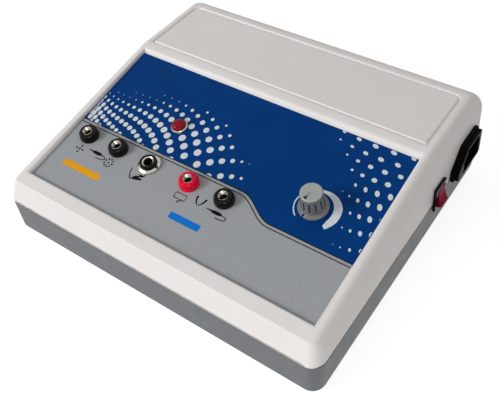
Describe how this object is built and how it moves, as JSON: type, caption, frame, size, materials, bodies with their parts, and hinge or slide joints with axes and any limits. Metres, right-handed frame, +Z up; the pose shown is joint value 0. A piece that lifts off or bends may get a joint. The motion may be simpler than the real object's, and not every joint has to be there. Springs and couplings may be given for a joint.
{
  "type": "electrocautery unit",
  "caption": "Desktop electrocautery unit with a sloping control panel, lead sockets, foot switch jack, indicator lamp, intensity knob, rocker switch and mains inlet",
  "frame": {"origin": "centre of the bounding box in X and Y, on the level of the soles of the feet", "axes": "+Z up, -Y towards the user (the low front of the panel), +X to the user's right (the wall with the rocker switch and the mains inlet)"},
  "size_m": [0.2456, 0.2176, 0.0717],
  "materials": {
    "white_abs": "satin",
    "grey_abs": "satin",
    "overlay_print": "satin",
    "black_plastic": "gloss",
    "red_plastic": "gloss",
    "red_lens": "gloss",
    "rocker_red": "gloss",
    "knob_grey": "satin",
    "cap_grey": "satin",
    "nickel": "polished",
    "brass": "satin",
    "steel": "satin",
    "rubber": "matte",
    "board_green": "satin",
    "aluminium": "satin",
    "winding": "satin",
    "core_steel": "matte",
    "relay_blue": "satin"
  },
  "bodies": {
    "case": {"board_screw_front_left": "steel", "board_screw_front_right": "steel", "board_screw_rear_left": "steel", "board_screw_rear_right": "steel", "capacitor_1": "black_plastic", "capacitor_2": "black_plastic", "case_screw_front_left": "steel", "case_screw_front_right": "steel", "case_screw_rear_left": "steel", "case_screw_rear_right": "steel", "circuit_board": "board_green", "foot_front_left": "rubber", "foot_front_right": "rubber", "foot_rear_left": "rubber", "foot_rear_right": "rubber", "heat_sink": "aluminium", "indicator_bezel": "nickel", "indicator_lens": "red_lens", "indicator_nut": "nickel", "inlet_body": "black_plastic", "inlet_pin_earth": "brass", "inlet_pin_front": "brass", "inlet_pin_rear": "brass", "jack_body": "black_plastic", "jack_contact_ring": "nickel", "jack_nut": "nickel", "lower_shell": "grey_abs", "output_coil_former": "black_plastic", "output_coil_winding": "winding", "panel_overlay": "overlay_print", "potentiometer": "steel", "potentiometer_nut": "nickel", "power_transistor": "black_plastic", "relay": "relay_blue", "rocker_bezel": "black_plastic", "rocker_terminal_lower": "brass", "rocker_terminal_upper": "brass", "sleeve_bipolar_handle": "nickel", "sleeve_high_cut": "nickel", "sleeve_low_cut": "nickel", "sleeve_patient_plate": "nickel", "socket_bipolar_handle": "black_plastic", "socket_high_cut": "black_plastic", "socket_low_cut": "black_plastic", "socket_nut_bipolar_handle": "nickel", "socket_nut_high_cut": "nickel", "socket_nut_low_cut": "nickel", "socket_nut_patient_plate": "nickel", "socket_patient_plate": "red_plastic", "strap_screw_left": "steel", "strap_screw_right": "steel", "transformer_core": "core_steel", "transformer_strap": "steel", "transformer_winding": "winding", "upper_shell": "white_abs"},
    "intensity_knob": {"knob": "knob_grey", "knob_cap": "cap_grey", "potentiometer_shaft": "steel"},
    "rocker": {"rocker_paddle": "rocker_red"}
  },
  "joints": [
    {"name": "intensity_turn", "type": "hinge", "parent": "case", "child": "intensity_knob", "pos_m": [0.06674, -0.03007, 0.05478], "axis": [0, -0.181, 0.9835], "range_deg": [-300, 0]},
    {"name": "rocker_tilt", "type": "hinge", "parent": "case", "child": "rocker", "pos_m": [0.11747, 0.03645, 0.03393], "axis": [0, 1, 0], "range_deg": [0, 26]}
  ]
}
